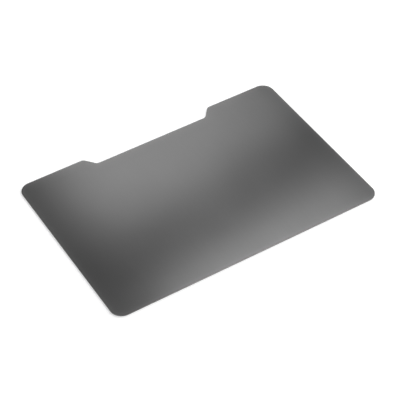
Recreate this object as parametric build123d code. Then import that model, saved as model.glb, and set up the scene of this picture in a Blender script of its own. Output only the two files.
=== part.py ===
from build123d import *
import os

# Laptop privacy filter: one flat sheet of dark louvre film, cut to cover the front glass of a
# small detachable laptop. Its four corners are round, and a wide shallow notch with sloping
# sides in the middle of the upper edge keeps the camera and sensors clear.
#
# Lengths are in millimetres. The origin is at the middle of the sheet's lower face, which is
# the face laid against the screen. X runs along the long edges, Y points to the notched upper
# edge and Z points out of the viewing face.

# The sheet
sheet_width = 286.0
sheet_height = 195.0
sheet_thickness = 0.5
corner_radius = 12.0

# The camera notch, measured on its sharp corners before they are rounded
notch_mouth_width = 142.8
notch_depth = 11.7
notch_side_angle = 51.0
notch_lip_radius = 5.5
notch_root_radius = 5.5

# The slight roll that the cutting die leaves along the viewing face
edge_roll_radius = 0.1

# Room for rounding when corners are picked by their place
pick_tolerance = 0.001


def camera_notch():
    """The notch's own outline: a trapezoid hanging from its wide mouth, with rounded roots."""
    with BuildSketch() as notch:
        Trapezoid(
            notch_mouth_width,
            notch_depth,
            notch_side_angle,
            rotation=180,
            align=(Align.CENTER, Align.MIN),
        )
        roots = notch.vertices().group_by(Axis.Y)[0]
        fillet(roots, notch_root_radius)
    return notch.sketch


def sheet_outline():
    """The cut line: a rounded rectangle less the notch, with the notch's two lips rounded."""
    mouth_reach = notch_mouth_width / 2 + pick_tolerance
    with BuildSketch() as outline:
        RectangleRounded(sheet_width, sheet_height, corner_radius)
        with Locations((0, sheet_height / 2)):
            add(camera_notch(), mode=Mode.SUBTRACT)
        notch_corners = outline.vertices().filter_by_position(Axis.X, -mouth_reach, mouth_reach)
        lips = notch_corners.group_by(Axis.Y)[-1]
        fillet(lips, notch_lip_radius)
    return outline.sketch


def filter_sheet():
    """The sheet at its full thickness, with the die roll round its viewing face."""
    with BuildPart() as sheet:
        add(sheet_outline())
        extrude(amount=sheet_thickness)
        viewing_face = sheet.faces().sort_by(Axis.Z)[-1]
        fillet(viewing_face.edges(), edge_roll_radius)
    return sheet.part


os.makedirs("parts", exist_ok=True)
export_step(filter_sheet(), "parts/filter_sheet.step")
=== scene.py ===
import math

import bmesh
import bpy
from mathutils import Matrix, Vector


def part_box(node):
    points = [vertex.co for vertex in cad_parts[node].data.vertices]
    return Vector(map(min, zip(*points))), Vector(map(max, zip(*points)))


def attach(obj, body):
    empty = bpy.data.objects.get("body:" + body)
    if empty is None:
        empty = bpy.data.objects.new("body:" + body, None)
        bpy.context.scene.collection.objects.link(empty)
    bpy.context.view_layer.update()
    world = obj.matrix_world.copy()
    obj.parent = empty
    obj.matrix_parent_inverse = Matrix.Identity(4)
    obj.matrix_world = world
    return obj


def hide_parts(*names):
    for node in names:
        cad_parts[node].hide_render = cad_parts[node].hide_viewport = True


# Laptop privacy filter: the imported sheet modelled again, finished, and lit as in the photograph

mm = 0.001  # lengths are in metres, as in the frame
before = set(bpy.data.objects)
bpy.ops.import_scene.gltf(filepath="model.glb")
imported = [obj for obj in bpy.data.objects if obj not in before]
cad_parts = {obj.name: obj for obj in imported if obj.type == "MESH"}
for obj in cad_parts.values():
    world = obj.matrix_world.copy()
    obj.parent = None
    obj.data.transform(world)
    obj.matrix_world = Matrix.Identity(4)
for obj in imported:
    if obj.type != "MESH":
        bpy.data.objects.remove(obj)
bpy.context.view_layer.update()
sheetLow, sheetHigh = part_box("filter_sheet")
sheetWidth, sheetDepth, sheetThickness = sheetHigh - sheetLow
midX, midY, midZ = (sheetLow + sheetHigh) / 2
print("frame loaded:", sorted(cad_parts))


# Small helpers for modelling

def deselectAll():
    bpy.ops.object.select_all(action="DESELECT")


def editMesh(piece):
    bpy.context.view_layer.objects.active = piece
    bpy.ops.object.mode_set(mode="EDIT")
    bpy.ops.mesh.select_all(action="DESELECT")


def objectMode():
    bpy.ops.object.mode_set(mode="OBJECT")


def pick(piece, kind, test):
    # selects the vertices, edges or faces of the mesh in edit mode that pass the test
    bpy.ops.mesh.select_all(action="DESELECT")
    bpy.ops.mesh.select_mode(type={"verts": "VERT", "edges": "EDGE", "faces": "FACE"}[kind])
    shape = bmesh.from_edit_mesh(piece.data)
    for part in getattr(shape, kind):
        if test(part):
            part.select_set(True)
    shape.select_flush_mode()
    bmesh.update_edit_mesh(piece.data)


# The film sheet, modelled again over the CAD outline with smooth arcs and a rolled upper edge

filmForm = {
    "name": "film_sheet",
    "cornerRadius": 12.0 * mm,
    "notchMouth": 142.8 * mm,          # between the sharp lips, before they are rounded
    "notchDepth": 11.7 * mm,
    "notchSlope": math.radians(51.0),  # from the upper edge down into the notch
    "lipRadius": 5.5 * mm,
    "rootRadius": 5.5 * mm,
    "edgeRoll": 0.1 * mm,              # what the cutting die leaves round the viewing face
    "holdLoop": 0.5 * mm,              # flat border that keeps the roll's shading at the edge
    "cornerSteps": 24,
    "notchSteps": 12,
    "rollSteps": 4,
    "weld": 0.001 * mm,
    "smoothAngle": math.radians(40.0),
}
notchFloor = sheetHigh.y - filmForm["notchDepth"]
lipX = filmForm["notchMouth"] / 2
rootX = lipX - filmForm["notchDepth"] / math.tan(filmForm["notchSlope"])

sameSpot = 0.01 * mm  # nearer than this, a vertex is the corner that is looked for
levelNormal = 0.999   # upward part of a level face's normal, which the roll's faces don't reach
roundProfile = 0.5    # of a bevel along an edge


def isAt(vertex, places):
    return any((vertex.co.xy - place).length < sameSpot for place in places)


def inNotch(face):
    middle = face.calc_center_median()
    return abs(middle.x - midX) < rootX and middle.y > notchFloor


def onTop(face):
    return face.normal.z > levelNormal and face.calc_center_median().z > midZ


def makeBlank(name):
    deselectAll()
    bpy.ops.mesh.primitive_plane_add(size=1, location=(midX, midY, sheetLow.z))
    blank = bpy.context.object
    blank.name = name
    blank.data.name = name
    blank.scale = (sheetWidth, sheetDepth, 1)
    bpy.ops.object.transform_apply(location=True, rotation=True, scale=True)
    return blank


def cutNotch(film, slope):
    # one cut along the notch's floor and a slanted cut down each side
    cuts = [((midX, notchFloor, 0), (0, 1, 0))]
    for side in (-1, 1):
        normal = (side * math.sin(slope), -math.cos(slope), 0)
        cuts.append(((midX + side * lipX, sheetHigh.y, 0), normal))
    for point, normal in cuts:
        bpy.ops.mesh.select_all(action="SELECT")
        bpy.ops.mesh.bisect(plane_co=point, plane_no=normal)
    pick(film, "faces", inNotch)
    bpy.ops.mesh.delete(type="FACE")
    bpy.ops.mesh.select_all(action="SELECT")
    bpy.ops.mesh.dissolve_faces()


def roundVertices(film, places, radius, turn, steps):
    # turn is how far the outline changes direction at these corners
    half = (math.pi - turn) / 2
    setBack = radius / math.tan(half)
    sag = (1 / math.sin(half) - 1) * math.tan(half) / (2 * math.cos(half))
    arcProfile = (1 - sag) ** 2  # takes the bevel through the middle of the true arc
    pick(film, "verts", lambda v: isAt(v, places))
    bpy.ops.mesh.bevel(offset=setBack, segments=steps, profile=arcProfile, affect="VERTICES")


def roundOutline(film, form):
    # the cuts leave spare points on the straight edges, and the real corners are rounded
    corners = [Vector((x, y)) for x in (sheetLow.x, sheetHigh.x) for y in (sheetLow.y, sheetHigh.y)]
    lips = [Vector((midX + side * lipX, sheetHigh.y)) for side in (-1, 1)]
    roots = [Vector((midX + side * rootX, notchFloor)) for side in (-1, 1)]
    pick(film, "verts", lambda v: not isAt(v, corners + lips + roots))
    bpy.ops.mesh.dissolve_verts()
    roundVertices(film, corners, form["cornerRadius"], math.pi / 2, form["cornerSteps"])
    roundVertices(film, lips, form["lipRadius"], form["notchSlope"], form["notchSteps"])
    roundVertices(film, roots, form["rootRadius"], form["notchSlope"], form["notchSteps"])


def thicken(film, form):
    # the film's thickness, the roll along its upper edge and the flat border inside it
    bpy.ops.mesh.select_all(action="SELECT")
    bpy.ops.mesh.extrude_region_move(TRANSFORM_OT_translate={"value": (0, 0, sheetThickness)})
    pick(film, "edges", lambda e: all(v.co.z > midZ for v in e.verts))
    bpy.ops.mesh.bevel(
        offset=form["edgeRoll"], segments=form["rollSteps"], profile=roundProfile, affect="EDGES"
    )
    pick(film, "faces", onTop)
    bpy.ops.mesh.inset(thickness=form["holdLoop"])
    bpy.ops.mesh.select_all(action="SELECT")
    bpy.ops.mesh.remove_doubles(threshold=form["weld"])
    bpy.ops.mesh.normals_make_consistent(inside=False)


def makeFilm(form):
    film = makeBlank(form["name"])
    editMesh(film)
    cutNotch(film, form["notchSlope"])
    roundOutline(film, form)
    thicken(film, form)
    objectMode()
    bpy.ops.object.shade_smooth_by_angle(angle=form["smoothAngle"])
    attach(film, "root")
    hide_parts("filter_sheet")
    print("film sheet:", len(film.data.polygons), "faces")
    return film


film = makeFilm(filmForm)


# Small helpers for shader nodes

nodeSpacing = 180
textureMiddle = 0.5  # what a noise or wave texture varies about


def addNode(tree, kind, links=None, **settings):
    # settings are sockets by name or the node's own options, and each node stands right of the last
    node = tree.nodes.new(kind)
    node.location = (nodeSpacing * len(tree.nodes), 0)
    for key, value in settings.items():
        if key in node.inputs:
            node.inputs[key].default_value = value
        else:
            setattr(node, key, value)
    for key, source in (links or {}).items():
        tree.links.new(source, node.inputs[key])
    return node


def calc(tree, operation, *values):
    # a Math node fed by sockets or plain numbers
    node = addNode(tree, "ShaderNodeMath", operation=operation)
    for socket, value in zip(node.inputs, values):
        if isinstance(value, bpy.types.NodeSocket):
            tree.links.new(value, socket)
        else:
            socket.default_value = value
    return node.outputs[0]


def centred(tree, texture):
    # the texture's value, moved to vary about zero
    return calc(tree, "SUBTRACT", texture.outputs["Fac"], textureMiddle)


def addNoise(tree, where, size, detail):
    noise = addNode(tree, "ShaderNodeTexNoise", {"Vector": where}, Scale=1 / size, Detail=detail)
    return centred(tree, noise)


def addFade(tree, value, start, end, first, last):
    # goes smoothly from first to last while the value goes from start to end
    fade = addNode(tree, "ShaderNodeMapRange", {"Value": value}, interpolation_type="SMOOTHSTEP")
    fade.inputs["From Min"].default_value = start
    fade.inputs["From Max"].default_value = end
    fade.inputs["To Min"].default_value = first
    fade.inputs["To Max"].default_value = last
    return fade.outputs["Result"]


def newGroup(name, inputs, outputs):
    group = bpy.data.node_groups.new(name, "ShaderNodeTree")
    for label in inputs:
        group.interface.new_socket(label, in_out="INPUT", socket_type="NodeSocketFloat")
    for label in outputs:
        group.interface.new_socket(label, in_out="OUTPUT", socket_type="NodeSocketFloat")
    given = addNode(group, "NodeGroupInput").outputs
    result = addNode(group, "NodeGroupOutput").inputs
    return group, given, result


def newMaterial(name):
    material = bpy.data.materials.new(name)
    material.use_nodes = True
    tree = material.node_tree
    return material, tree, tree.nodes["Principled BSDF"]


# Shared effect: how near a point is to the cut line, 1 at the cut and fading over the reach, which
# masks the painted rim light

def makeRimGroup(form):
    group, given, result = newGroup("cut_rim", ["Reach"], ["Rim"])
    where = addNode(group, "ShaderNodeTexCoord").outputs["Object"]
    place = addNode(group, "ShaderNodeSeparateXYZ", {0: where}).outputs
    x = calc(group, "ABSOLUTE", calc(group, "SUBTRACT", place["X"], midX))
    y = calc(group, "SUBTRACT", place["Y"], midY)

    # the rounded rectangle
    radius = form["cornerRadius"]
    pastX = calc(group, "SUBTRACT", x, sheetWidth / 2 - radius)
    pastY = calc(group, "SUBTRACT", calc(group, "ABSOLUTE", y), sheetDepth / 2 - radius)
    outX = calc(group, "MAXIMUM", pastX, 0)
    outY = calc(group, "MAXIMUM", pastY, 0)
    outSquare = calc(group, "ADD", calc(group, "POWER", outX, 2), calc(group, "POWER", outY, 2))
    within = calc(group, "MINIMUM", calc(group, "MAXIMUM", pastX, pastY), 0)
    past = calc(group, "ADD", calc(group, "SQRT", outSquare), within)
    fromOutline = calc(group, "SUBTRACT", radius, past)

    # the notch, by its floor and its slanted side
    fromFloor = calc(group, "SUBTRACT", notchFloor - midY, y)
    across = calc(group, "MULTIPLY", calc(group, "SUBTRACT", x, lipX), math.sin(form["notchSlope"]))
    below = calc(group, "SUBTRACT", sheetHigh.y - midY, y)
    fromSide = calc(group, "MULTIPLY_ADD", below, math.cos(form["notchSlope"]), across)
    fromNotch = calc(group, "MAXIMUM", fromFloor, fromSide)

    distance = calc(group, "MAXIMUM", calc(group, "MINIMUM", fromOutline, fromNotch), 0)
    steps = calc(group, "DIVIDE", distance, given["Reach"])
    rim = calc(group, "EXPONENT", calc(group, "MULTIPLY", steps, -1))
    group.links.new(rim, result["Rim"])
    return group


rimGroup = makeRimGroup(filmForm)


# Shared effect: the louvre layer's fine lines and drawn streaks, its haze and its surface grain

louvreLook = {
    "pitch": 0.2 * mm,           # from one upright louvre to the next
    "streakWidth": 2.5 * mm,     # faint bands along the louvres, from drawing the film
    "streakLength": 160.0 * mm,
    "streakDetail": 3,
    "hazeSize": 45.0 * mm,
    "hazeDetail": 1,
    "grainSize": 0.3 * mm,
    "grainDetail": 2,
}


def makeLouvreGroup(look):
    group, given, result = newGroup(
        "louvre_film", ["Line Contrast", "Streak Contrast"], ["Tint", "Haze", "Grain"]
    )
    where = addNode(group, "ShaderNodeTexCoord").outputs["Object"]
    bandPeriod = math.pi / 10  # of a wave texture at scale 1
    lines = addNode(group, "ShaderNodeTexWave", {"Vector": where}, Scale=bandPeriod / look["pitch"])
    along = addNode(group, "ShaderNodeMapping", {"Vector": where})
    along.inputs["Scale"].default_value = (1 / look["streakWidth"], 1 / look["streakLength"], 1)
    streaks = addNoise(group, along.outputs[0], 1, look["streakDetail"])  # already scaled
    haze = addNoise(group, where, look["hazeSize"], look["hazeDetail"])
    grain = addNoise(group, where, look["grainSize"], look["grainDetail"])
    lineTint = calc(group, "MULTIPLY", centred(group, lines), given["Line Contrast"])
    streakTint = calc(group, "MULTIPLY", streaks, given["Streak Contrast"])
    tint = calc(group, "ADD", calc(group, "ADD", lineTint, streakTint), 1)
    group.links.new(tint, result["Tint"])
    group.links.new(haze, result["Haze"])
    group.links.new(grain, result["Grain"])
    return group


louvreGroup = makeLouvreGroup(louvreLook)


# Finishes of the film's two faces

viewingFinish = {
    "name": "satin_viewing_face",
    "grey": 0.0269,            # dark neutral tint of the louvre layer
    "lineContrast": 0.12,
    "streakContrast": 0.12,
    "paintedRimLight": 0.0305,         # painted light: a paler band added at the cut, standing in for light that gets into the clear cover film
    "paintedRimReach": 3.5 * mm,
    "roughness": 0.176,
    "haze": 0.03,
    "grainHeight": 0.0012 * mm,
    "ior": 1.5,
}

screenFinish = {
    "name": "smooth_screen_face",
    "grey": 0.022,
    "lineContrast": 0.16,
    "streakContrast": 0.12,
    # the same painted rim light on this face
    "paintedRimLight": 0.03,
    "paintedRimReach": 2.5 * mm,
    "roughness": 0.09,
    "haze": 0.02,
    "grainHeight": 0.0003 * mm,
    "ior": 1.5,
}


def makeFaceMaterial(finish):
    material, tree, shader = newMaterial(finish["name"])
    louvre = addNode(tree, "ShaderNodeGroup", node_tree=louvreGroup)
    louvre.inputs["Line Contrast"].default_value = finish["lineContrast"]
    louvre.inputs["Streak Contrast"].default_value = finish["streakContrast"]
    rim = addNode(tree, "ShaderNodeGroup", node_tree=rimGroup)
    rim.inputs["Reach"].default_value = finish["paintedRimReach"]
    # the painted rim light: a paler band at the cut, painted into the base colour
    paintedRimTint = calc(tree, "MULTIPLY", rim.outputs["Rim"], finish["paintedRimLight"])
    grey = calc(tree, "MULTIPLY_ADD", louvre.outputs["Tint"], finish["grey"], paintedRimTint)
    rough = calc(tree, "MULTIPLY_ADD", louvre.outputs["Haze"], finish["haze"], finish["roughness"])
    bump = addNode(tree, "ShaderNodeBump", {"Height": louvre.outputs["Grain"]},
                   Strength=1, Distance=finish["grainHeight"])
    tree.links.new(grey, shader.inputs["Base Color"])
    tree.links.new(rough, shader.inputs["Roughness"])
    tree.links.new(bump.outputs["Normal"], shader.inputs["Normal"])
    shader.inputs["IOR"].default_value = finish["ior"]
    return material


# The cut edge shows the laminate: the louvre layer between two clear cover films

edgeFinish = {
    "name": "cut_laminate_edge",
    "coverGrey": 0.5,
    "coreGrey": 0.24,
    "coverFilm": 0.11 * mm,   # thickness of each cover film
    "blend": 0.02 * mm,
    "tearSize": 1.2 * mm,     # marks of the cutting die
    "tearDetail": 2,
    "tearContrast": 0.25,
    "roughness": 0.45,
    "tearRoughness": 0.2,
    "ior": 1.5,
}


def makeEdgeMaterial(finish):
    material, tree, shader = newMaterial(finish["name"])
    where = addNode(tree, "ShaderNodeTexCoord").outputs["Object"]
    place = addNode(tree, "ShaderNodeSeparateXYZ", {0: where}).outputs
    fromMiddle = calc(tree, "ABSOLUTE", calc(tree, "SUBTRACT", place["Z"], midZ))
    coreEnd = sheetThickness / 2 - finish["coverFilm"]
    layer = addFade(tree, fromMiddle, coreEnd, coreEnd + finish["blend"],
                    finish["coreGrey"], finish["coverGrey"])
    tears = addNoise(tree, where, finish["tearSize"], finish["tearDetail"])
    tearTint = calc(tree, "MULTIPLY_ADD", tears, finish["tearContrast"], 1)
    grey = calc(tree, "MULTIPLY", layer, tearTint)
    rough = calc(tree, "MULTIPLY_ADD", tears, finish["tearRoughness"], finish["roughness"])
    tree.links.new(grey, shader.inputs["Base Color"])
    tree.links.new(rough, shader.inputs["Roughness"])
    shader.inputs["IOR"].default_value = finish["ior"]
    return material


def dressFaces(piece, finishes):
    # a material slot for each finish, given to the faces that pass its test
    editMesh(piece)
    for index, (material, test) in enumerate(finishes):
        piece.data.materials.append(material)
        pick(piece, "faces", test)
        piece.active_material_index = index
        bpy.ops.object.material_slot_assign()
    objectMode()


steep = math.cos(math.radians(22.0))  # the cut finish takes all but the start of the roll
dressFaces(film, [
    (makeFaceMaterial(viewingFinish), lambda f: f.normal.z > steep),
    (makeEdgeMaterial(edgeFinish), lambda f: abs(f.normal.z) <= steep),
    (makeFaceMaterial(screenFinish), lambda f: f.normal.z < -steep),
])
print("finishes:", [material.name for material in film.data.materials])


# Camera at the photograph's viewing angle

cameraPlace = {
    "name": "photo_camera",
    "azimuth": math.radians(-30.728),
    "elevation": math.radians(45.24),
    "roll": math.radians(-1.31),
    "distance": 1353.4 * mm,
    "aim": (-3.981 * mm, -10.901 * mm),  # on the viewing face
    "lens": 128.6,                       # this and the sensor's width in mm
    "sensor": 36.0,
}


def direction(bearing, elevation):
    # bearing runs from +X towards +Y
    level = math.cos(elevation)
    return Vector((math.cos(bearing) * level, math.sin(bearing) * level, math.sin(elevation)))


def makeCamera(place):
    back = direction(place["azimuth"] - math.pi / 2, place["elevation"])
    level = direction(place["azimuth"], 0)
    right = level * math.cos(place["roll"]) + back.cross(level) * math.sin(place["roll"])
    turn = Matrix((right, back.cross(right), back)).transposed().to_4x4()
    aim = Vector((*place["aim"], sheetHigh.z))
    data = bpy.data.cameras.new(place["name"])
    data.lens = place["lens"]
    data.sensor_width = place["sensor"]
    camera = bpy.data.objects.new(place["name"], data)
    camera.matrix_world = Matrix.Translation(aim + back * place["distance"]) @ turn
    bpy.context.scene.collection.objects.link(camera)
    bpy.context.scene.camera = camera
    print("camera at", [round(x, 4) for x in camera.matrix_world.translation])
    return camera


camera = makeCamera(cameraPlace)


# Lamps

def addLamp(name, place, turn, size, glow):
    data = bpy.data.lights.new(name, "AREA")
    data.shape = "RECTANGLE"
    data.size, data.size_y = size
    data.energy = glow * math.pi * size[0] * size[1]  # watts for that radiance
    lamp = bpy.data.objects.new(name, data)
    lamp.matrix_world = Matrix.Translation(place) @ turn
    bpy.context.scene.collection.objects.link(lamp)
    print(name, [round(x, 3) for x in place], [round(x, 3) for x in size])
    return lamp


# level softboxes overhead, each given by where and how large the sheet mirrors it for the camera,
# in mm and degrees
softboxes = {
    "upper_softbox": {
        "aim": (-0.9, 243.3), "half": (121.8, 233.1), "turn": 7.0, "lift": 900.0, "glow": 3.69,
    },
    "lower_softbox": {
        "aim": (19.6, -128.9), "half": (116.2, 58.2), "turn": 7.2, "lift": 900.0, "glow": 5.57,
    },
    "accent_softbox": {
        "aim": (-42.7, 35.6), "half": (82.3, 39.4), "turn": -20.2, "lift": 860.0, "glow": 1.43,
    },
    "strip_softbox": {
        "aim": (-65.1, -103.8), "half": (116.0, 17.7), "turn": 3.3, "lift": 880.0, "glow": 1.95,
    },
}


def makeSoftbox(name, box, eye):
    spot = Vector((box["aim"][0] * mm, box["aim"][1] * mm, sheetHigh.z))
    reach = box["lift"] * mm / (eye.z - spot.z)
    mirrored = Vector((spot.x - eye.x, spot.y - eye.y, eye.z - spot.z))
    turn = Matrix.Rotation(math.radians(box["turn"]), 4, "Z")
    size = [2 * half * mm * (1 + reach) for half in box["half"]]
    addLamp(name, spot + mirrored * reach, turn, size, box["glow"])


for name, box in softboxes.items():
    makeSoftbox(name, box, camera.matrix_world.translation)


# lamps on stands, facing the sheet, in degrees and metres
board = {"distance": 2.0, "size": (1.4, 0.55), "glow": 0.75, "inGloss": True}
standLamps = {
    "side_softbox": {  # low at the right, for the short shadow along the left edge
        "bearing": 14.0, "elevation": 14.0, "distance": 3.0, "size": (3.4, 0.86), "glow": 19.2,
        "inGloss": False,
    },
    # pale boards that show the film's sheen from the other sides
    "right_board": {**board, "bearing": 0.0, "elevation": 38.0},
    "left_board": {**board, "bearing": 150.0, "elevation": 36.0},
    "front_left_board": {**board, "bearing": 222.0, "elevation": 36.0},
    "front_right_board": {**board, "bearing": 294.0, "elevation": 36.0},
    "top_board": {**board, "bearing": 22.0, "elevation": 82.0, "size": (0.5, 0.7), "glow": 0.9},
}


def makeStandLamp(name, stand):
    out = direction(math.radians(stand["bearing"]), math.radians(stand["elevation"]))
    turn = out.to_track_quat("Z", "Y").to_matrix().to_4x4()
    lamp = addLamp(name, out * stand["distance"], turn, stand["size"], stand["glow"])
    lamp.visible_glossy = stand["inGloss"]


for name, stand in standLamps.items():
    makeStandLamp(name, stand)


# Floor and world

floorLook = {
    "name": "studio_floor",
    "size": 5.0,
    "gap": 0.01 * mm,         # under the sheet
    "grey": 0.8,
    "glow": 0.26,             # white that the paper adds for the camera and for gloss
    "farWhite": 1.12,         # over 1, so that it stays white in the corners of the picture
    "fadeStart": 200.0 * mm,  # from the sheet's middle, where the paper turns to plain white
    "fadeEnd": 320.0 * mm,
}


def makeFloor(look):
    # lit paper with the shadow round the sheet, and plain white where the lamps reach less
    deselectAll()
    bpy.ops.mesh.primitive_plane_add(size=look["size"], location=(0, 0, sheetLow.z - look["gap"]))
    floor = bpy.context.object
    floor.name = look["name"]
    material, tree, shader = newMaterial(look["name"])
    tree.nodes.remove(shader)
    path = addNode(tree, "ShaderNodeLightPath").outputs
    seen = calc(tree, "MAXIMUM", path["Is Camera Ray"], path["Is Glossy Ray"])
    seen = calc(tree, "MAXIMUM", seen, path["Is Transmission Ray"])
    paper = addNode(tree, "ShaderNodeBsdfDiffuse", Color=(look["grey"],) * 3 + (1,))
    strength = calc(tree, "MULTIPLY", seen, look["glow"])
    glow = addNode(tree, "ShaderNodeEmission", {"Strength": strength})
    near = addNode(tree, "ShaderNodeAddShader", {0: paper.outputs[0], 1: glow.outputs[0]})
    far = addNode(tree, "ShaderNodeEmission", Strength=look["farWhite"])
    where = addNode(tree, "ShaderNodeTexCoord").outputs["Object"]
    fromMiddle = addNode(tree, "ShaderNodeVectorMath", {0: where}, operation="LENGTH").outputs["Value"]
    away = addFade(tree, fromMiddle, look["fadeStart"], look["fadeEnd"], 0, 1)
    share = calc(tree, "MULTIPLY", seen, away)
    both = addNode(tree, "ShaderNodeMixShader", {0: share, 1: near.outputs[0], 2: far.outputs[0]})
    tree.links.new(both.outputs[0], tree.nodes["Material Output"].inputs["Surface"])
    floor.data.materials.append(material)


worldLook = {
    "name": "studio_world",
    "horizonWhite": 1.02,
    "domeGrey": 0.25,
    "fadeStart": 0.15,  # sine of the height where the white backdrop starts to fade
    "fadeEnd": 0.6,
}


def makeWorld(look):
    world = bpy.data.worlds.new(look["name"])
    world.use_nodes = True
    tree = world.node_tree
    where = addNode(tree, "ShaderNodeTexCoord").outputs["Generated"]
    height = addNode(tree, "ShaderNodeSeparateXYZ", {0: where}).outputs["Z"]
    light = addFade(tree, height, look["fadeStart"], look["fadeEnd"],
                    look["horizonWhite"], look["domeGrey"])
    background = tree.nodes["Background"]
    background.inputs["Color"].default_value = (1, 1, 1, 1)
    tree.links.new(light, background.inputs["Strength"])
    bpy.context.scene.world = world


makeFloor(floorLook)
makeWorld(worldLook)
bpy.context.scene.view_settings.view_transform = "Standard"
print("studio set up")
